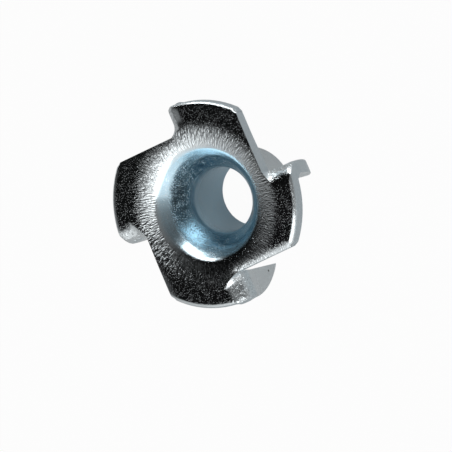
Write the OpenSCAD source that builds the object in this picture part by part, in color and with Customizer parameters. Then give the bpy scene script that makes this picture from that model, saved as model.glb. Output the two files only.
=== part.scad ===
// Tee nut: one piece, drawn, coined and lanced out of round sheet metal.
// It stands on the end of its barrel: Z is the axis, the flange face is on top.
// All sizes are in millimetres.

/* [Flange] */
// Diameter of the round blank, measured over the lobes
flange_d = 22; // [21.5:0.25:24]
// Thickness of the sheet
sheet = 1.5; // [1.3:0.05:1.7]
// Radius of the rolled-over upper rim
rim_roll = 0.55; // [0.2:0.05:0.7]

/* [Barrel] */
// Overall height, from the end of the barrel to the flange face
overall_h = 11.2; // [10.5:0.1:14]
// Outside diameter of the barrel
barrel_d = 9.8; // [9.5:0.1:10.3]
// Diameter of the plain bore
bore_d = 7; // [6.6:0.1:7.4]
// Radius under the flange, where the sheet turns down into the barrel
turn_r = 4.5; // [3.8:0.1:4.8]
// Rounding of the two edges at the end of the barrel
end_round = 0.2; // [0.1:0.05:0.3]

/* [Mouth] */
// Diameter where the flange face starts to fall away into the mouth
mouth_d = 18; // [17:0.25:19]
// Outer diameter of the coined cone
coin_d = 12.1; // [11.7:0.1:12.5]
// Depth of the outer edge of the coined cone
coin_depth = 0.75; // [0.65:0.05:0.85]
// Diameter of the edge between the coined cone and the throat
throat_d = 10; // [9.6:0.1:10.4]
// Depth of that edge
throat_depth = 1.95; // [1.8:0.05:2.1]
// Depth at which the throat would close to the bore
bore_depth = 4.5; // [4.1:0.1:4.9]
// Radius that blends the throat into the bore
throat_blend = 1; // [0.4:0.1:1.6]

/* [Prongs] */
// Number of lobes, each with one prong
prongs = 4; // [3:1:5]
// Distance from the axis to each slit
slit_off = 7.87; // [7.6:0.05:8.1]
// Turn of the first slit about the axis, in degrees
slit_turn = 24.4; // [0:0.1:45]
// Radius of the rolled-over edge along each slit
slit_roll = 0.4; // [0.1:0.05:0.5]
// Outer radius of the bend at the root of a prong
bend_r = 2.25; // [2:0.05:2.5]
// Radius of the web left in the corner between slit and bend
web_r = 1.3; // [0.8:0.1:1.6]
// How far a prong's face lies past the square from the axis to its slit
prong_set = 0.38; // [0.2:0.02:0.6]
// Drop of the centre of a prong's curved edge below the flange face
prong_drop = 1.75; // [1.4:0.05:2]
// How far a prong's curved edge lies inside the circle of the rim
prong_in = 0.06; // [0.05:0.01:0.12]
// Radius of the rounded tip of a prong
tip_round = 0.15; // [0.1:0.05:0.6]
// Radius of the rolled-over curved edge of a prong
prong_roll = 0.25; // [0.1:0.05:0.4]

/* [Hidden] */

round_fn = 90;         // facets of the round body
arc_fn = 48;           // facets of an arc in a section
small_fn = 20;         // facets of a small rounding
past = 1;              // how far a cutter reaches past what it cuts
lap = 0.02;            // overlap of two joined stretches of the same sheet

flange_r = flange_d / 2;
barrel_r = barrel_d / 2;
bore_r = bore_d / 2;
mouth_r = mouth_d / 2;
coin_r = coin_d / 2;
throat_r = throat_d / 2;
top = overall_h;
far = 2 * flange_r;    // beyond the part on any side

// the arc that leaves the flange face and meets the coined cone
mouth_run = mouth_r - coin_r;
mouth_arc = (mouth_run * mouth_run + coin_depth * coin_depth) / (2 * coin_depth);

// the steep throat and its blend into the bore
throat_slope = atan2(bore_depth - throat_depth, throat_r - bore_r);
blend_run = throat_blend * tan((90 - throat_slope) / 2);
blend_z = top - bore_depth - blend_run;

// the line where the bend begins, and the inner radius of the bend
bend_x = bend_r - prong_set;
bend_in = bend_r - sheet;

// the slope in which the rolled-over edge of a slit ends, in degrees
runout_lean = 20;

// the tip of a prong, in the plane of the prong
edge_z = top - prong_drop;
prong_r = flange_r - prong_in;
tip_y = slit_off + tip_round;
tip_reach = sqrt(pow(prong_r - tip_round, 2) - tip_y * tip_y);
tip_out = prong_r / (prong_r - tip_round);
tip_z = edge_z - tip_reach;

// What is left outside a rounding of radius r between two square faces.
// The corner is at the origin and the faces run towards -x and -y.
module corner_cut(r) {
    difference() {
        translate([-r, -r]) square(r + past);
        translate([-r, -r]) circle(r = r, $fn = small_fn);
    }
}

// Half section of the flange, the turn under it and the barrel, still solid.
// The flange reaches past the rim, which is cut when the prongs are on.
module outer_section() {
    under = top - sheet;
    difference() {
        union() {
            translate([0, under]) square([flange_r + past, sheet]);
            square([barrel_r, under + lap]);
            difference() {
                translate([barrel_r - lap, under - turn_r])
                    square([turn_r + lap, turn_r + lap]);
                translate([barrel_r + turn_r, under - turn_r])
                    circle(r = turn_r, $fn = arc_fn);
            }
        }
        translate([barrel_r, 0]) mirror([0, 1]) corner_cut(end_round);
    }
}

// Half section of the space within the rim, with its rolled-over edge
module rim_section() {
    difference() {
        translate([0, -past]) square([flange_r, top + past]);
        translate([flange_r, top]) corner_cut(rim_roll);
    }
}

// Half section of the space inside: mouth, coined cone, throat and bore
module inner_section() {
    // from the flange face down to the edge of the coined cone
    difference() {
        translate([coin_r - lap, top - coin_depth])
            square([mouth_run + lap, coin_depth + past]);
        translate([mouth_r, top - mouth_arc]) circle(r = mouth_arc, $fn = 3 * arc_fn);
    }
    // the coined cone, the throat and the bore
    difference() {
        polygon([
            [0, -past], [bore_r, -past], [bore_r, blend_z],
            [bore_r + throat_blend, blend_z],
            [bore_r + blend_run * cos(throat_slope),
                top - bore_depth + blend_run * sin(throat_slope)],
            [throat_r, top - throat_depth], [coin_r, top - coin_depth],
            [coin_r, top + past], [0, top + past]
        ]);
        translate([bore_r + throat_blend, blend_z])
            circle(r = throat_blend, $fn = arc_fn);
    }
    // the rounded inner edge at the end of the barrel
    translate([bore_r, 0]) rotate(180) corner_cut(end_round);
}

// What the blank loses outside a slit, up to the face of the prong
module notch() {
    translate([-far, slit_off, 0]) cube([far - prong_set, far, top + past]);
}

// The edge that the shear pulled down along a slit. It ends in a slope that
// runs up to the sharp corner beside the prong.
module slit_edge_cut() {
    translate([-prong_set, slit_off, top]) difference() {
        rotate([-90, 0, -90]) mirror([0, 1]) linear_extrude(height = far)
            corner_cut(slit_roll);
        rotate(a = 90 - runout_lean, v = [0, 1, -1])
            translate([0, -far, -far]) cube(2 * far);
    }
}

// The sheet below the flange: the prong and the inside of its bend. It starts
// at the slit and reaches past the round edge, which is cut later.
module hanging_sheet() {
    translate([0, far, 0]) rotate([90, 0, 0]) linear_extrude(height = far - slit_off) {
        translate([-prong_set, -past]) square([sheet, top - sheet / 2 + past]);
        difference() {
            translate([bend_x - bend_in - lap, top - bend_r])
                square([bend_in + lap, bend_in + sheet / 2]);
            translate([bend_x, top - bend_r]) circle(r = bend_in, $fn = arc_fn);
        }
    }
}

// What lies outside the bend. Next to the slit it leaves a web, which stands
// out from the bend up to the flange face and the face of the prong.
module bend_cut() {
    translate([bend_x, slit_off, top - bend_r]) rotate([-90, 0, 0])
        rotate([0, 0, 180]) rotate_extrude(angle = 90, $fn = round_fn) {
            translate([bend_r, web_r]) square([bend_r, far]);
            translate([bend_r + web_r, 0]) square([bend_r, far]);
            intersection() {
                translate([bend_r + web_r, web_r]) circle(r = web_r, $fn = arc_fn);
                translate([bend_r, 0]) square([web_r + lap, web_r + lap]);
            }
        }
}

// What lies outside a prong, seen square to its face: the space beyond its
// round edge, which goes straight up beside the bend, and beyond its tip
module prong_surround() {
    difference() {
        translate([0, -far]) square([far, far + edge_z]);
        translate([0, edge_z]) circle(r = prong_r, $fn = 2 * round_fn);
    }
    translate([prong_r, edge_z - lap]) square([far, far]);
    difference() {
        polygon([
            [slit_off - past, tip_z], [slit_off, tip_z],
            [tip_y * tip_out, edge_z - tip_reach * tip_out],
            [tip_y * tip_out, -far], [slit_off - past, -far]
        ]);
        translate([tip_y, tip_z]) circle(r = tip_round, $fn = small_fn);
    }
}

// Trims the end of the bend and the prong to their outline, and rolls over the
// prong's round edge
module prong_cut() {
    translate([-prong_set - past, 0, 0]) rotate([90, 0, 90])
        linear_extrude(height = bend_r + 2 * past) prong_surround();
    translate([-prong_set, 0, edge_z]) {
        rotate([0, -90, 0]) rotate([0, 0, 90]) rotate_extrude(angle = 90, $fn = round_fn)
            translate([prong_r, 0]) corner_cut(prong_roll);
        linear_extrude(height = far) translate([0, prong_r]) mirror([1, 0]) corner_cut(prong_roll);
    }
}

// Places a child at each lobe, with y square to its slit
module each_lobe() {
    for (i = [0:prongs - 1]) rotate([0, 0, slit_turn + i * 360 / prongs]) children();
}

// The whole nut, out of one sheet
module tee_nut() {
    color([0.70, 0.74, 0.77])
    difference() {
        intersection() {
            union() {
                difference() {
                    rotate_extrude($fn = round_fn) outer_section();
                    each_lobe() {
                        notch();
                        slit_edge_cut();
                    }
                }
                each_lobe() hanging_sheet();
            }
            rotate_extrude($fn = round_fn) rim_section();
        }
        each_lobe() bend_cut();
        each_lobe() prong_cut();
        rotate_extrude($fn = round_fn) inner_section();
    }
}

tee_nut();
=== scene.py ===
# %% [markdown]
# # A four-pronged tee nut, dressed
#
# A tee nut is stamped from one piece of sheet steel: the barrel is drawn down out of the middle, the
# round flange is slit in four places, the tongue beside each slit is folded down into a prong, and
# the whole nut is then plated with zinc. The CAD solid already has the drawn form, so this lesson
# adds what the press and the plating bath leave behind: edges dragged down by the punch, a drawn
# mouth full of fine radial ridges, a grainy flange, dull sheared edges, one small pit, and the
# blue-white zinc.

# %% Open the frame
import math

import bmesh
import bpy
from mathutils import Matrix, Vector


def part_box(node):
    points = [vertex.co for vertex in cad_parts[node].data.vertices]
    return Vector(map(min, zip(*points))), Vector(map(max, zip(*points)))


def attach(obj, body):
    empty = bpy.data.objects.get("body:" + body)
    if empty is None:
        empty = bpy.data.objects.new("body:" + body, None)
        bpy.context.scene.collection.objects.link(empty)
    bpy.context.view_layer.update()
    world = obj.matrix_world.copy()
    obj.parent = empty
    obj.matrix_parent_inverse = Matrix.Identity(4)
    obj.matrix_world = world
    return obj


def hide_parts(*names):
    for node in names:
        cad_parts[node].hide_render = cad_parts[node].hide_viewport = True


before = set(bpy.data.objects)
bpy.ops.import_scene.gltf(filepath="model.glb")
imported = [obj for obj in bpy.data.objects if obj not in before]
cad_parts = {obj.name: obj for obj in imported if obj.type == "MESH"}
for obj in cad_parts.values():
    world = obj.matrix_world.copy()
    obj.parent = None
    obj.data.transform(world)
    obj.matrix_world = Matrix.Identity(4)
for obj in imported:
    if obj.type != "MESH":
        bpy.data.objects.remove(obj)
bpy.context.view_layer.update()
low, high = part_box("tee_nut")
MM = 0.001
print("CAD box, mm:", [round(v / MM, 2) for v in (*low, *high)])

# %% [markdown]
# ## The sizes that the finish follows
#
# Every finish on this nut follows its forms: the ridges start where the metal begins to flow into
# the mouth, and the cut faces are where the punch went through. So the main sizes come first. The
# flange's top and radius are read from the frame's box, in metres. The radii of the edges round the
# mouth and of the barrel are those of the CAD part, in millimetres, because the materials work in
# millimetres: rings of that size are easier to think about.

# %% Main sizes
top = high[2]
flange_r = (high[0] - low[0]) / 2
CONE_EDGE, THROAT_EDGE, BARREL = 6.05, 5.0, 4.9
print("flange radius and top, mm:", round(flange_r / MM, 2), round(top / MM, 2))

# %% [markdown]
# ## The camera
#
# A small part for a catalogue is shot from far away through a long lens, so that it looks almost as
# if drawn, with little perspective. A camera is easiest to place the way it is done in a studio:
# choose the point to aim at, walk around it, climb, tilt the camera about its own axis, and step
# back.

# %% Camera
AIM = Vector((2.07 * MM, -2.27 * MM, top - 1.09 * MM))
AROUND, ABOVE, TILT = 105.67, 61.16, -105.38
DISTANCE = 1.0934
LENS = 828


def look_from(around, above, tilt):
    """The camera's turn for a walk around and a climb, in degrees, with a tilt about its own axis."""
    turn = Matrix.Rotation(math.radians(around), 3, "Z")
    climb = Matrix.Rotation(math.radians(90 - above), 3, "X")
    roll = Matrix.Rotation(math.radians(tilt), 3, "Z")
    return turn @ climb @ roll


camera = bpy.data.objects.new("camera", bpy.data.cameras.new("camera"))
bpy.context.scene.collection.objects.link(camera)
facing = look_from(AROUND, ABOVE, TILT)
camera.location = AIM + facing @ Vector((0, 0, DISTANCE))
camera.rotation_euler = facing.to_euler()
camera.data.lens = LENS
camera.data.sensor_width = 36
camera.data.clip_start, camera.data.clip_end = 0.01, 10
bpy.context.scene.camera = camera
bpy.context.scene.view_settings.view_transform = "Standard"
print("camera at, mm:", [round(v / MM, 1) for v in camera.location])


# %% [markdown]
# ## Small helpers for node trees
#
# A material is a chain of nodes, and each node could be made and linked by hand. That takes four or
# five lines a node, so these helpers do it in one: add a node, do a sum, move a value from one scale
# to another, and make or place a node group. Wherever a helper takes a value, it takes a link from
# another node just as well.

# %% Node helpers
def add(tree, kind, inputs=None, **settings):
    """A new node with its settings, and with a value or a link for each named or numbered input."""
    node = tree.nodes.new(kind)
    for name, value in settings.items():
        setattr(node, name, value)
    for name, value in (inputs or {}).items():
        if isinstance(value, bpy.types.NodeSocket):
            tree.links.new(value, node.inputs[name])
        else:
            node.inputs[name].default_value = value
    return node


def calc(tree, operation, *values):
    """A Math node's result."""
    return add(tree, "ShaderNodeMath", dict(enumerate(values)), operation=operation).outputs[0]


def remap(tree, value, start, end, to_start=0.0, to_end=1.0, smooth=True):
    """A value read on one scale and given on another, held at both ends."""
    kind = "SMOOTHSTEP" if smooth else "LINEAR"
    given = {"Value": value, "From Min": start, "From Max": end, "To Min": to_start, "To Max": to_end}
    return add(tree, "ShaderNodeMapRange", given, interpolation_type=kind, clamp=True).outputs[0]


def new_group(name, inputs, outputs):
    """A shader node group with float inputs, given with their defaults, and named outputs."""
    group = bpy.data.node_groups.new(name, "ShaderNodeTree")
    for label, default in inputs.items():
        socket = group.interface.new_socket(label, in_out="INPUT", socket_type="NodeSocketFloat")
        socket.default_value = default
    for label in outputs:
        group.interface.new_socket(label, in_out="OUTPUT", socket_type="NodeSocketFloat")
    return group, group.nodes.new("NodeGroupInput").outputs, group.nodes.new("NodeGroupOutput").inputs


def use_group(tree, group, **values):
    """A group's node in a material, with its own values. An underscore stands for a space."""
    named = {label.replace("_", " "): value for label, value in values.items()}
    node = add(tree, "ShaderNodeGroup", node_tree=group)
    for label, value in named.items():
        if isinstance(value, bpy.types.NodeSocket):
            tree.links.new(value, node.inputs[label])
        else:
            node.inputs[label].default_value = value
    return node.outputs


print("node helpers ready")

# %% [markdown]
# ## Where on the nut: radius and height
#
# The die that drew the mouth was round, so its marks depend on the distance from the nut's axis.
# This group gives that distance, in millimetres, and the height below the flange's top. Object
# coordinates are used because they stay with the mesh in every view.

# %% Round coordinates
rounds, _, give = new_group("round_coordinates", {}, ["Radius", "Depth"])
place = add(rounds, "ShaderNodeTexCoord").outputs["Object"]
parts = add(rounds, "ShaderNodeSeparateXYZ", {0: place}).outputs
x_squared = calc(rounds, "MULTIPLY", parts[0], parts[0])
y_squared = calc(rounds, "MULTIPLY", parts[1], parts[1])
squares = calc(rounds, "ADD", x_squared, y_squared)
rounds.links.new(calc(rounds, "MULTIPLY", calc(rounds, "SQRT", squares), 1 / MM), give["Radius"])
rounds.links.new(calc(rounds, "MULTIPLY", calc(rounds, "SUBTRACT", top, parts[2]), 1 / MM), give["Depth"])
print("round coordinates in mm, from a top at", round(top / MM, 2))

# %% [markdown]
# ## The grain of the plated sheet
#
# Zinc grows on steel in tiny crystals. Most of a rolled flat stays smooth and mirrors the room, but
# a tenth of a millimetre wide grain stands up here and there, and its flank catches a lamp that
# the flat doesn't see: that is the glitter. So the noise isn't used as it is. Its peaks are cut
# out of it, which leaves single grains on a flat ground. A wider swell bends the ground a little,
# and lowers the level at which the peaks are cut, so that the grains stand closer in some places
# than in others. The group gives the height for a Bump node and the grains as a mask.

# %% Grain group
GRAIN_DEFAULTS = {"Grain size": 0.13, "Level": 0.55, "Ground": 0.3, "Swell size": 0.7, "Swell": 0.3}
CLUSTERING, GRAIN_RISE = 0.3, 0.15
grain, take, give = new_group("zinc_grain", GRAIN_DEFAULTS, ["Height", "Grains"])
place = add(grain, "ShaderNodeTexCoord").outputs["Object"]


def grain_noise(size_socket, detail):
    """Noise on object coordinates whose features are about that many millimetres wide."""
    scale = calc(grain, "DIVIDE", 1 / MM, take[size_socket])
    return add(grain, "ShaderNodeTexNoise", {"Vector": place, "Scale": scale, "Detail": detail}).outputs[0]


fine, swell = grain_noise("Grain size", 1), grain_noise("Swell size", 2)
hollow = calc(grain, "MULTIPLY", calc(grain, "SUBTRACT", 0.5, swell), CLUSTERING)
level = calc(grain, "ADD", take["Level"], hollow)
peaks = remap(grain, fine, level, calc(grain, "ADD", level, GRAIN_RISE))
height = calc(grain, "ADD", peaks, calc(grain, "MULTIPLY", fine, take["Ground"]))
grain.links.new(calc(grain, "ADD", height, calc(grain, "MULTIPLY", swell, take["Swell"])), give["Height"])
grain.links.new(peaks, give["Grains"])
print("zinc grain ready")

# %% [markdown]
# ## The radial ridges of the drawn mouth
#
# Where the sheet was pulled into the die its surface stretched and wrinkled into short ridges that
# all point at the hole. Noise read on a circle does that: the cosine and sine of the angle are
# scaled up, so it changes fast around the mouth, and the radius is scaled down, so it changes
# slowly along each ridge. The circle has no seam.

# %% Ridge group
ridges, take, give = new_group("drawn_ridges", {"Around": 45.0, "Along": 1.2}, ["Height"])
place = add(ridges, "ShaderNodeTexCoord").outputs["Object"]
flat = add(ridges, "ShaderNodeVectorMath", {0: place, 1: (1, 1, 0)}, operation="MULTIPLY").outputs[0]
spoke = add(ridges, "ShaderNodeVectorMath", {0: flat}, operation="NORMALIZE").outputs[0]
spoke = add(ridges, "ShaderNodeSeparateXYZ", {0: spoke}).outputs
radius = use_group(ridges, rounds)["Radius"]
turned = add(ridges, "ShaderNodeCombineXYZ", {
    "X": calc(ridges, "MULTIPLY", spoke[0], take["Around"]),
    "Y": calc(ridges, "MULTIPLY", spoke[1], take["Around"]),
    "Z": calc(ridges, "MULTIPLY", radius, take["Along"]),
}).outputs[0]
ridge_noise = {"Vector": turned, "Scale": 1, "Detail": 2, "Roughness": 0.55}
ridge = add(ridges, "ShaderNodeTexNoise", ridge_noise).outputs[0]
ridges.links.new(ridge, give["Height"])
print("drawn ridges ready")

# %% [markdown]
# ## Zinc on the drawn sheet
#
# The main finish: blue-white zinc, metallic, glittering on the flange, ridged on the shoulder of
# the mouth, rubbed smooth where the die coined the cone, grainy again in the throat where the metal
# was stretched most, and smooth in the bore. It could be a separate material for each ring, but the
# real nut has no border between them, only marks that fade in and out. So one material carries all
# of it, steered by masks on radius and depth. Two more helpers come first: the metal itself and a
# mix of two colours.

# %% Zinc helpers
def zinc_material(name):
    """A new node material with a metallic Principled shader, and its tree."""
    material = bpy.data.materials.new(name)
    material.use_nodes = True
    tree = material.node_tree
    shader = tree.nodes["Principled BSDF"]
    shader.inputs["Metallic"].default_value = 1
    return material, tree, shader


def mixed(tree, share, first, second):
    """A colour between two, by a mask."""
    node = add(tree, "ShaderNodeMix", data_type="RGBA")
    for socket, value in ((node.inputs[0], share), (node.inputs[6], first), (node.inputs[7], second)):
        if isinstance(value, bpy.types.NodeSocket):
            tree.links.new(value, socket)
        else:
            socket.default_value = value
    return node.outputs[2]


def bumped(tree, height, strength, distance, normal=None):
    """A Bump node's normal, for a height in millimetres times a strength."""
    given = {"Height": height, "Strength": strength, "Distance": distance * MM}
    if normal is not None:
        given["Normal"] = normal
    return add(tree, "ShaderNodeBump", given).outputs[0]


print("zinc helpers ready")

# %% [markdown]
# ### Masks: which ring of the nut this is
#
# Each mask is 1 in its own part of the nut and falls off beside it: within a few tenths of a
# millimetre at a crease, and over one or two millimetres where the marks run out slowly. The
# shoulder is the drawn part of the mouth, the coined ring is the cone that the die pressed, and the
# throat runs from there into the bore. The flat's mask keeps a third inside the mouth, which has
# some grain left. What was formed is everything that lies deeper outside the mouth: rolled edges,
# bends and prongs. The barrel's outside has nearly the radius of the throat, so depth tells the two
# apart.

# %% Masks by radius and depth
plated, tree, shader = zinc_material("plated_sheet")
where = use_group(tree, rounds)
radius, depth = where["Radius"], where["Depth"]
past_cone = remap(tree, radius, CONE_EDGE - 0.1, CONE_EDGE + 0.45)
shoulder = calc(tree, "MULTIPLY", past_cone, remap(tree, radius, 7.8, 9.4, 1, 0))
flat_part = remap(tree, radius, CONE_EDGE - 0.1, 7.4, 0.35, 1)
throat_ring = remap(tree, radius, THROAT_EDGE + 0.3, THROAT_EDGE - 0.1)
throat = calc(tree, "MULTIPLY", throat_ring, remap(tree, depth, 5.8, 3.8))
inside_cone = remap(tree, radius, CONE_EDGE + 0.15, CONE_EDGE - 0.15)
coined = calc(tree, "MULTIPLY", inside_cone, remap(tree, radius, THROAT_EDGE - 0.1, THROAT_EDGE + 0.1))
formed = calc(tree, "MULTIPLY", remap(tree, depth, 0.1, 0.5), remap(tree, radius, 7.2, 7.8))
bend_part = calc(tree, "MULTIPLY", formed, remap(tree, depth, 3.0, 2.2))
past_wall = remap(tree, radius, BARREL - 0.22, BARREL - 0.05)
outside = calc(tree, "MULTIPLY", past_wall, remap(tree, depth, 2.5, 2.8))
print("seven masks ready")

# %% [markdown]
# ### Relief: grain, ridges and wrinkles
#
# The relief is far too fine to model, a few hundredths of a millimetre high, so it is bump. Three
# Bump nodes are chained through their normals, each with its own mask: grain on the flat and in the
# throat, ridges on the shoulder, and the wrinkles that the outside of a bend gets when the sheet is
# folded.

# %% Relief of the plated sheet
crystals = use_group(tree, grain, Grain_size=0.12, Level=0.58, Ground=0.3, Swell=0.2)
lines = use_group(tree, ridges, Around=52.0, Along=1.7)
wrinkles = use_group(tree, grain, Grain_size=0.3, Level=0.5, Ground=0.5, Swell=0.8)
grainy = calc(tree, "MAXIMUM", calc(tree, "MULTIPLY", flat_part, 0.4), throat)
normal = bumped(tree, crystals["Height"], grainy, 0.02)
normal = bumped(tree, lines["Height"], shoulder, 0.09, normal)
normal = bumped(tree, wrinkles["Height"], bend_part, 0.04, normal)
tree.links.new(normal, shader.inputs["Normal"])
print("three layers of relief ready")

# %% [markdown]
# ### Colour: the blue film
#
# Clear passivated zinc is white with a thin blue film. A tint on the whole nut would make it look
# painted, so the blue fades in at the cone, where this nut shows it most, and comes in once more,
# much weaker, down the prongs. The single grains are painted paler, a painted glint that helps
# their glitter show, and one pit on a prong is nearly black.
# The pit's place is a point on the nut in millimetres, and it shows wherever the surface passes
# within reach of it.

# %% Colour of the plated sheet
WHITE_ZINC, BLUE_ZINC, PAINTED_GLINT_ZINC = (0.69, 0.74, 0.76, 1), (0.49, 0.69, 0.80, 1), (0.80, 0.83, 0.84, 1)
DARK_PIT = (0.05, 0.05, 0.05, 1)
PIT, PIT_REACH, PIT_CORE = Vector((3.91, -7.71, 4.28)), 0.15, 0.08
in_mouth = remap(tree, radius, CONE_EDGE + 0.25, CONE_EDGE - 0.45, 0.0, 0.85)
blued = calc(tree, "MAXIMUM", in_mouth, remap(tree, depth, 0.8, 2.0, 0.0, 0.25))
blued = calc(tree, "MULTIPLY", blued, calc(tree, "SUBTRACT", 1, outside))
colour = mixed(tree, blued, WHITE_ZINC, BLUE_ZINC)
# Painted glint: each grain's colour is lightened, weaker in the throat, so its glitter shows.
painted_glint = calc(tree, "MULTIPLY", crystals["Grains"], remap(tree, throat, 0, 1, 0.6, 0.15))
colour = mixed(tree, painted_glint, colour, PAINTED_GLINT_ZINC)
place = add(tree, "ShaderNodeTexCoord").outputs["Object"]
apart = add(tree, "ShaderNodeVectorMath", {0: place, 1: PIT * MM}, operation="DISTANCE").outputs["Value"]
colour = mixed(tree, remap(tree, apart, PIT_REACH * MM, PIT_CORE * MM), colour, DARK_PIT)
tree.links.new(colour, shader.inputs["Base Color"])
print("zinc colours ready, pit at, mm:", tuple(round(v, 2) for v in PIT))

# %% [markdown]
# ### Roughness: what makes the grains glitter
#
# Most of the sheet is close to a mirror, at a roughness of 0.11. A grain is duller, so it spreads
# the lamp's light toward every side and stands out pale against the black that the mirror shows.
# The coined cone and the bore are satin, and what was bent is a little duller again. Each of these
# either raises the roughness to a floor of its own, by a maximum, or adds to it.

# %% Roughness of the plated sheet
MIRROR, SATIN_CONE = 0.11, 0.2
specks = calc(tree, "MULTIPLY", crystals["Grains"], calc(tree, "MAXIMUM", flat_part, throat))
speck_dull = calc(tree, "ADD", calc(tree, "MULTIPLY", throat, 0.12), 0.16)
dull = calc(tree, "ADD", calc(tree, "MULTIPLY", specks, speck_dull), MIRROR)
dull = calc(tree, "MAXIMUM", dull, remap(tree, depth, 3.2, 4.6, 0.1, 0.27))
dull = calc(tree, "MAXIMUM", dull, calc(tree, "MULTIPLY", coined, SATIN_CONE))
dull = calc(tree, "ADD", dull, calc(tree, "MULTIPLY", throat, 0.05))
bend_dull = calc(tree, "ADD", calc(tree, "MULTIPLY", crystals["Grains"], 0.1), 0.1)
dull = calc(tree, "ADD", dull, calc(tree, "MULTIPLY", formed, bend_dull))
tree.links.new(dull, shader.inputs["Roughness"])
print("plated sheet ready, mirror roughness", MIRROR)

# %% [markdown]
# ## Sheared faces
#
# Where the punch went through, the metal tore rather than slid, so the slit faces, the prongs'
# edges and the rim below its rolled edge are duller and a little greyer. This is a material of its
# own, because here the border is sharp: it is the edge of the cut.

# %% Sheared edges
TORN_GREY, TORN_PALE = (0.56, 0.64, 0.68, 1), (0.66, 0.72, 0.75, 1)
sheared, tree, shader = zinc_material("sheared_edge")
crystals = use_group(tree, grain, Grain_size=0.12, Level=0.5, Ground=0.6, Swell=0.8)
torn = crystals["Grains"]
tree.links.new(mixed(tree, torn, TORN_GREY, TORN_PALE), shader.inputs["Base Color"])
tree.links.new(remap(tree, torn, 0, 1, 0.36, 0.48), shader.inputs["Roughness"])
tree.links.new(bumped(tree, crystals["Height"], 0.4, 0.02), shader.inputs["Normal"])
print("sheared edge ready")

# %% [markdown]
# ## The stamped nut
#
# The CAD solid has the true form, so the nut starts as a copy of its mesh with the doubled points
# merged. A stamped part isn't quite its drawing, though. The punch drags the sheet down beside
# each slit, the outside of a bend pulls in at its free edge while the inside is squeezed out, and a
# prong's straight edge slants outwards. Those are small moves of the surface itself, so they are
# made by moving points: a bump would leave the outline as it was.

# %% A merged copy
def merged_copy(node):
    """A bmesh of a CAD node's mesh, with its doubled points merged."""
    form = bmesh.new()
    form.from_mesh(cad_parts[node].data)
    bmesh.ops.remove_doubles(form, verts=form.verts, dist=0.0005 * MM)
    bmesh.ops.dissolve_degenerate(form, edges=form.edges, dist=0.001 * MM)
    return form


def divide(form, longest, wanted, times=5):
    """Halves the edges that pass the test and are longer than that, in metres, a few times over."""
    for _ in range(times):
        edges = [e for e in form.edges if e.calc_length() > longest and wanted(e)]
        bmesh.ops.subdivide_edges(form, edges=edges, cuts=1)
        bmesh.ops.triangulate(form, faces=[f for f in form.faces if len(f.verts) > 3])


nut = merged_copy("tee_nut")
print("merged copy:", len(nut.verts), "points,", len(nut.faces), "faces")

# %% [markdown]
# ### Each lobe's own directions
#
# The four lobes are the same form turned by a quarter each. So a point is first read in its lobe's
# own directions: x runs along the slit and square through the prong's face, y runs square to the
# slit, out from the axis. The slit ends at the prong's face, and the bend's axis lies a bend's
# radius under the flange. These few sizes are the CAD part's own. The long triangles outside the
# mouth are then divided, so that the surface there has points enough to bend.

# %% Lobe coordinates
SLIT_TURN, SLIT_OFF, PRONG_SET, BEND_R = 24.4, 7.87 * MM, 0.38 * MM, 2.25 * MM
BEND_X, BEND_Z = BEND_R - PRONG_SET, top - BEND_R
LONGEST_EDGE = 0.35 * MM


def lobe_turn(lobe):
    """The turn from a lobe's own directions to the nut's."""
    return Matrix.Rotation(math.radians(SLIT_TURN + 90 * lobe), 3, "Z")


def to_lobe(point, lobe):
    """A point's place in a lobe's own directions, x along its slit and y square to it."""
    return lobe_turn(lobe).inverted() @ point


def lobe_of(point):
    """The lobe whose y direction lies nearest to the point's own, seen from above."""
    angle = math.degrees(math.atan2(point.y, point.x)) - SLIT_TURN
    return round((angle - 90) / 90) % 4


def ease(value, start, end):
    """0 before start, 1 after end, and a smooth rise between, also where end is below start."""
    t = min(1, max(0, (value - start) / (end - start)))
    return t * t * (3 - 2 * t)


def worked(edge):
    """True where the stamping moved the sheet: outside the mouth and not on the barrel."""
    return all(v.co.xy.length > 7.0 * MM for v in edge.verts)


divide(nut, LONGEST_EDGE, worked)
print("divided:", len(nut.verts), "points,", len(nut.faces), "faces")

# %% [markdown]
# ### The sheet dragged down beside a slit
#
# A punch pulls the sheet's edge down with it before it breaks through, so beside a slit the flange
# ends in a soft shoulder. The wider the gap between punch and die, the deeper it gets, and one slit
# of the four has much more of it. A bevel would round the edge too, but evenly, whereas this
# shoulder fades over a millimetre and turns the corner at the prong's root. The distance to the
# punched-out corner gives both. Each of these functions returns how far a point moves.

# %% Dragged down beside a slit
DROOPS, DROOP_WIDE, WEB_R = (0.08, 0.06, 0.36, 0.06), 1.05 * MM, 1.3 * MM


def dragged(place, lobe):
    """How the sheet moves down beside a slit, for a place in the lobe's own directions."""
    x, y, z = place
    if x >= BEND_X or z <= top - 1.0 * MM:
        return Vector()
    apart = math.hypot(max(0, x + PRONG_SET), max(0, SLIT_OFF - y))
    near = max(0, 1 - apart / DROOP_WIDE) ** 2 * ease(y, SLIT_OFF + WEB_R, SLIT_OFF)
    return Vector((0, 0, -DROOPS[lobe] * MM * near * ease(z, top - 1.0 * MM, top - 0.4 * MM)))


print("deepest shoulder beside a slit, mm:", max(DROOPS))

# %% [markdown]
# ### The free edge of a bend
#
# When a sheet is folded, its outside is stretched and gets narrower, and its inside is pressed
# together and gets wider. So at the free edge of each bend the outside curls in and the inside
# stands out. The first is a round roll toward the bend's axis, the second a small push out along
# the edge. Both fade in with the angle of the bend and out again down the prong.

# %% The free edge of a bend
EDGE_ROLL, DEEPEST_PULL, SQUEEZE = 0.5 * MM, 0.32 * MM, 0.14 * MM


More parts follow.
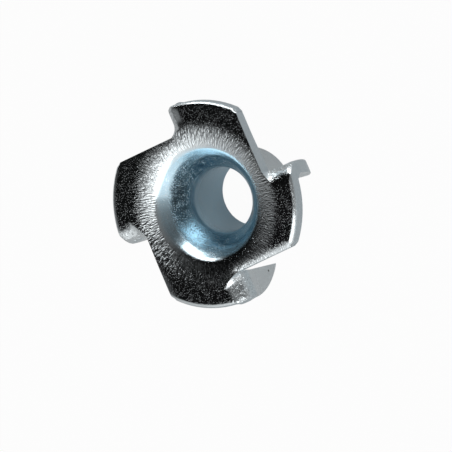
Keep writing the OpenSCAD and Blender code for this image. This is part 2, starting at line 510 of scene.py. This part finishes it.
def squeezed(place):
    """How the free edge of a bend moves: in on the outside of the bend, out on the inside."""
    x, y, z = place
    rim = math.sqrt(max(0, flange_r ** 2 - x ** 2))
    if x >= BEND_X or z <= BEND_Z - 1.6 * MM or y <= rim - 1.2 * MM:
        return Vector()
    inwards, above = BEND_X - x, max(0, z - BEND_Z)
    out = math.hypot(inwards, above)
    turned = math.atan2(inwards, max(1e-9, above))
    bent = ease(turned, math.radians(12), math.radians(45)) * ease(max(0, BEND_Z - z), 1.5 * MM, 0)
    into = min(EDGE_ROLL, max(0, y - (rim - EDGE_ROLL)))
    drop = EDGE_ROLL - math.sqrt(max(0, EDGE_ROLL ** 2 - into ** 2))
    outer = ease(out, BEND_R - 0.9 * MM, BEND_R) * bent
    inner = ease(out, BEND_R - 0.6 * MM, BEND_R - 1.2 * MM) * ease(out, 0.2 * MM, 0.8 * MM) * bent
    toward_axis = Vector((inwards, 0, -above)).normalized()
    push = SQUEEZE * inner * ease(y, rim - 0.8 * MM, rim)
    return toward_axis * min(drop, DEEPEST_PULL) * outer + Vector((0, push, 0))


print("most that a bend's edge pulls in, mm:", round(DEEPEST_PULL / MM, 2))

# %% [markdown]
# ### The prongs, and all the moves together
#
# A prong's straight edge slants outwards by a fraction of a millimetre toward its tip, and one prong
# reaches a little further out than the drawing says. The three moves are all read from where the
# point lay before, so they add up in any order and none has to know of the others.

# %% Pull the sheet into its stamped shape
SLANT, REACHES = 0.17 * MM, (0.0, 0.0, 0.08, 0.0)


def slanted(place, lobe):
    """How a prong moves out along y, more toward its tip and its straight edge."""
    x, y, z = place
    if z >= BEND_Z:
        return Vector()
    down = (BEND_Z - z) / BEND_Z
    straight_side = ease(y, SLIT_OFF + 2.0 * MM, SLIT_OFF)
    reach = REACHES[lobe] * MM * ease(z, BEND_Z, BEND_Z - 1.0 * MM)
    return Vector((0, SLANT * down * straight_side + reach, 0))


def stamped(point):
    """Where a point of the drawn form ends up on the stamped part."""
    lobe = lobe_of(point)
    place = to_lobe(point, lobe)
    if place.y > 6 * MM:
        place = place + dragged(place, lobe) + squeezed(place) + slanted(place, lobe)
    return lobe_turn(lobe) @ place


for vert in nut.verts:
    if vert.co.xy.length > 6 * MM:
        vert.co = stamped(vert.co)
print("stamped shape ready, points moved outside the mouth")

# %% [markdown]
# ### Which faces the punch cut
#
# The sheared faces get their own finish. Each could be picked by hand in the editor, but a script
# can tell them by where they lie and how they face: the barrel's end, and outside the mouth every
# face that looks mostly along y, which the slit faces, the rim and the prongs' edges do. Edges
# that fold by more than 35 degrees are marked sharp, and the rest is shaded smooth.

# %% Finish by region
FACES_ALONG, FACES_UP, SHARPEST = 0.69, 0.6, 35


def was_sheared(face):
    """True for the faces that the punch cut, and for the barrel's end."""
    centre, normal = face.calc_center_median(), face.normal
    if centre.z < 0.1 * MM:
        return True
    if centre.xy.length < 7 * MM or abs(normal.z) > FACES_UP:
        return False
    return abs(to_lobe(normal, lobe_of(centre)).y) > FACES_ALONG


for face in nut.faces:
    face.smooth = True
    face.material_index = 1 if was_sheared(face) else 0
for edge in nut.edges:
    edge.smooth = edge.is_manifold and edge.calc_face_angle(0) < math.radians(SHARPEST)
print("sheared faces:", sum(face.material_index for face in nut.faces))

# %% [markdown]
# ### The finished piece
#
# The mesh becomes an object that rides on the nut's only body and stands in for the CAD node. If
# it brought normals of its own, they no longer fit the moved points, so they are dropped. A
# weighted normal modifier makes the shading of each large face outweigh the slivers beside it,
# which keeps reflections straight, and it respects the sharp edges.

# %% The finished piece
def as_piece(form, name, materials):
    """A bmesh as a piece in the scene, with its materials."""
    mesh = bpy.data.meshes.new(name)
    form.to_mesh(mesh)
    form.free()
    if mesh.attributes.get("custom_normal"):
        mesh.attributes.remove(mesh.attributes["custom_normal"])
    for material in materials:
        mesh.materials.append(material)
    piece = bpy.data.objects.new(name, mesh)
    bpy.context.scene.collection.objects.link(piece)
    return piece


stamped_nut = as_piece(nut, "stamped_nut", (plated, sheared))
even = stamped_nut.modifiers.new("even_shading", "WEIGHTED_NORMAL")
even.keep_sharp, even.weight = True, 100
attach(stamped_nut, "root")
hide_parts("tee_nut")
print("stamped_nut has", len(stamped_nut.data.polygons), "faces")

# %% [markdown]
# ## The studio
#
# Bright metal has no look of its own: it shows the room, so a small room is built around it. Here
# that is a pale floor, a white surround, two soft lamps, and a tent of black cloth with a window in
# it, so that the flat flange mirrors black cloth while the curved mouth catches the window.
#
# The background must come out white with no more light on the nut, or the metal would wash out. So
# the floor and the surround add plain white by the kind of ray: nearly 1 for the camera, and a
# share of their own for what the metal mirrors. The rest of the floor is paint that takes a shadow.

# %% Floor and surround
FLOOR_SEEN, FLOOR_MIRRORED, FLOOR_PAINT = 0.96, 0.12, (0.8, 0.8, 0.8, 1)
WHITE = (1, 1, 1, 1)
SOFT_SKY = 0.3


def white_share(tree, seen, mirrored):
    """How much plain white a surface adds: one share for the camera, one for mirrored rays."""
    rays = add(tree, "ShaderNodeLightPath").outputs
    either = calc(tree, "MAXIMUM", rays["Is Glossy Ray"], rays["Is Transmission Ray"])
    by_camera = calc(tree, "MULTIPLY", rays["Is Camera Ray"], seen)
    return calc(tree, "MAXIMUM", by_camera, calc(tree, "MULTIPLY", either, mirrored))


def node_tree(owner):
    """The emptied node tree of a material or a world."""
    owner.use_nodes = True
    owner.node_tree.nodes.clear()
    return owner.node_tree


def blend(tree, share, first, second, output):
    """Mixes two shaders by a share and sends the result to the tree's output node."""
    both = add(tree, "ShaderNodeMixShader", {0: share, 1: first, 2: second}).outputs[0]
    add(tree, output, {"Surface": both})


pale_floor = bpy.data.materials.new("pale_floor")
tree = node_tree(pale_floor)
paint = add(tree, "ShaderNodeBsdfDiffuse", {"Color": FLOOR_PAINT}).outputs[0]
white = add(tree, "ShaderNodeEmission", {"Color": WHITE, "Strength": 1}).outputs[0]
blend(tree, white_share(tree, FLOOR_SEEN, FLOOR_MIRRORED), paint, white, "ShaderNodeOutputMaterial")
bpy.ops.mesh.primitive_plane_add(size=6)
floor = bpy.context.object
floor.name = "floor"
floor.data.materials.append(pale_floor)

surround = bpy.data.worlds.new("white_surround")
bpy.context.scene.world = surround
tree = node_tree(surround)
soft = add(tree, "ShaderNodeBackground", {"Color": WHITE, "Strength": SOFT_SKY}).outputs[0]
white = add(tree, "ShaderNodeBackground", {"Color": WHITE, "Strength": 1}).outputs[0]
blend(tree, white_share(tree, 1, 1), soft, white, "ShaderNodeOutputWorld")
print("floor and surround ready")

# %% [markdown]
# ### Two soft lamps
#
# A wide round lamp stands before the tent's window and gives the mouth its bright side. A low strip
# opposite it draws the highlight on the far side of the coined cone. An area lamp's power in watts
# says little about how bright it looks in a mirror: that is the power for each square metre, so the
# helper takes the brightness and works out the power from the area.

# %% The lamps
def toward(around, from_top):
    """A direction from the nut, by degrees around from +X and degrees down from straight above."""
    a, t = math.radians(around), math.radians(from_top)
    return Vector((math.sin(t) * math.cos(a), math.sin(t) * math.sin(a), math.cos(t)))


def soft_lamp(name, direction, distance, shape, size, brightness):
    """A soft lamp that faces the nut, with a width and height, as bright as that in a mirror."""
    area = size[0] * size[1] * (math.pi / 4 if shape == "DISK" else 1)
    lamp = bpy.data.lights.new(name, "AREA")
    lamp.shape, lamp.size, lamp.size_y = shape, *size
    lamp.energy = brightness * math.pi * area
    holder = bpy.data.objects.new(name, lamp)
    bpy.context.scene.collection.objects.link(holder)
    holder.location = direction * distance
    holder.rotation_euler = direction.to_track_quat("Z", "Y").to_euler()
    holder.visible_camera = False
    return holder


WINDOW, WINDOW_FAR, WINDOW_HALF_ANGLE = toward(-52, 46), 0.4, 26
window_wide = 2 * WINDOW_FAR * math.tan(math.radians(WINDOW_HALF_ANGLE))
soft_lamp("window_lamp", WINDOW, WINDOW_FAR, "DISK", (window_wide, window_wide), 1.25)
soft_lamp("low_lamp", toward(100, 79), 0.42, "RECTANGLE", (0.42, 0.16), 3)
print("window lamp toward", [round(c, 2) for c in WINDOW])

# %% [markdown]
# ### The tent of black cloth
#
# The tent is a dome round the nut that only mirrored rays meet: the camera looks through it, and it
# casts no shadow. It could be many black cards with gaps between them, but each card would then need
# its own place. One dome does the same with a material that is black in some directions from the
# nut and clear in others, where the white surround shows through. Both lamps stand inside it. Two
# planes cut the window, as a sill and a jamb would, a gap is left low down behind the strip lamp,
# and two sides of the cloth are thin, so that they glow a little.

# %% Directions in the tent
SILL, JAMB = Vector((0.154, 0.904, 0.116)).normalized(), Vector((0.99, -0.13, 0.03)).normalized()
GAP, THIN_WALL = toward(95, 84), toward(-75, 85)
TENT_R, TENT_FOOT = 0.5, 0.01
black_cloth = bpy.data.materials.new("black_cloth")
tree = node_tree(black_cloth)
place = add(tree, "ShaderNodeTexCoord").outputs["Object"]
away = add(tree, "ShaderNodeVectorMath", {0: place}, operation="NORMALIZE").outputs[0]
along = add(tree, "ShaderNodeSeparateXYZ", {0: away}).outputs


def facing_side(direction):
    """How far the cloth's direction from the nut agrees with this one: the cosine between them."""
    pair = {0: away, 1: direction}
    return add(tree, "ShaderNodeVectorMath", pair, operation="DOT_PRODUCT").outputs["Value"]


def cosine(degrees):
    """The cosine of an angle in degrees."""
    return math.cos(math.radians(degrees))


print("sill and jamb:", [[round(c, 2) for c in plane] for plane in (SILL, JAMB)])

# %% [markdown]
# ### Where the cloth is clear
#
# Each opening is a share from 0, black, to 1, clear, and the largest of them wins. The soft edges
# of the remaps give the soft edges of the reflections. The thin wall is raised to a power so that
# it darkens quickly away from its middle.

# %% The cloth's openings
def opening_shares():
    """The window, the low gap, the thin wall and the thin side, each as a share from 0 to 1."""
    above_sill = remap(tree, facing_side(SILL), 0.03, -0.05)
    past_jamb = remap(tree, facing_side(JAMB), -0.05, 0.06)
    window = calc(tree, "MULTIPLY", above_sill, past_jamb)
    near_gap = remap(tree, facing_side(GAP), cosine(42), cosine(34))
    low_gap = calc(tree, "MULTIPLY", near_gap, remap(tree, along[2], cosine(74), cosine(79)))
    thin = remap(tree, facing_side(THIN_WALL), -0.3, 1.0, 0.0, 1, smooth=False)
    wall = calc(tree, "MULTIPLY", calc(tree, "POWER", thin, 1.3), remap(tree, along[2], 0.87, 0.6))
    toward_x = remap(tree, along[0], -0.15, 0.4, 0.005, 0.24)
    side = calc(tree, "MULTIPLY", toward_x, remap(tree, along[1], 0, 0.9, 1, 0.4))
    return window, low_gap, wall, side


clear, *others = opening_shares()
for share in others:
    clear = calc(tree, "MAXIMUM", clear, share)
see_through = add(tree, "ShaderNodeBsdfTransparent", {"Color": WHITE}).outputs[0]
black = add(tree, "ShaderNodeEmission", {"Color": (0, 0, 0, 1), "Strength": 0}).outputs[0]
blend(tree, clear, black, see_through, "ShaderNodeOutputMaterial")
print("cloth ready, openings:", 1 + len(others))

# %% [markdown]
# ### The dome
#
# The dome is a sphere, and a plane cuts away all of it below a height of one centimetre. The rest
# stands clear of the floor, which the metal mirrors as well.

# %% The dome
form = bmesh.new()
bmesh.ops.create_uvsphere(form, u_segments=64, v_segments=32, radius=TENT_R)
whole = form.verts[:] + form.edges[:] + form.faces[:]
bmesh.ops.bisect_plane(form, geom=whole, plane_co=(0, 0, TENT_FOOT), plane_no=(0, 0, 1), clear_inner=True)
tent = as_piece(form, "tent", [black_cloth])
tent.visible_camera = tent.visible_shadow = tent.visible_diffuse = False
print("tent has", len(tent.data.polygons), "panels")
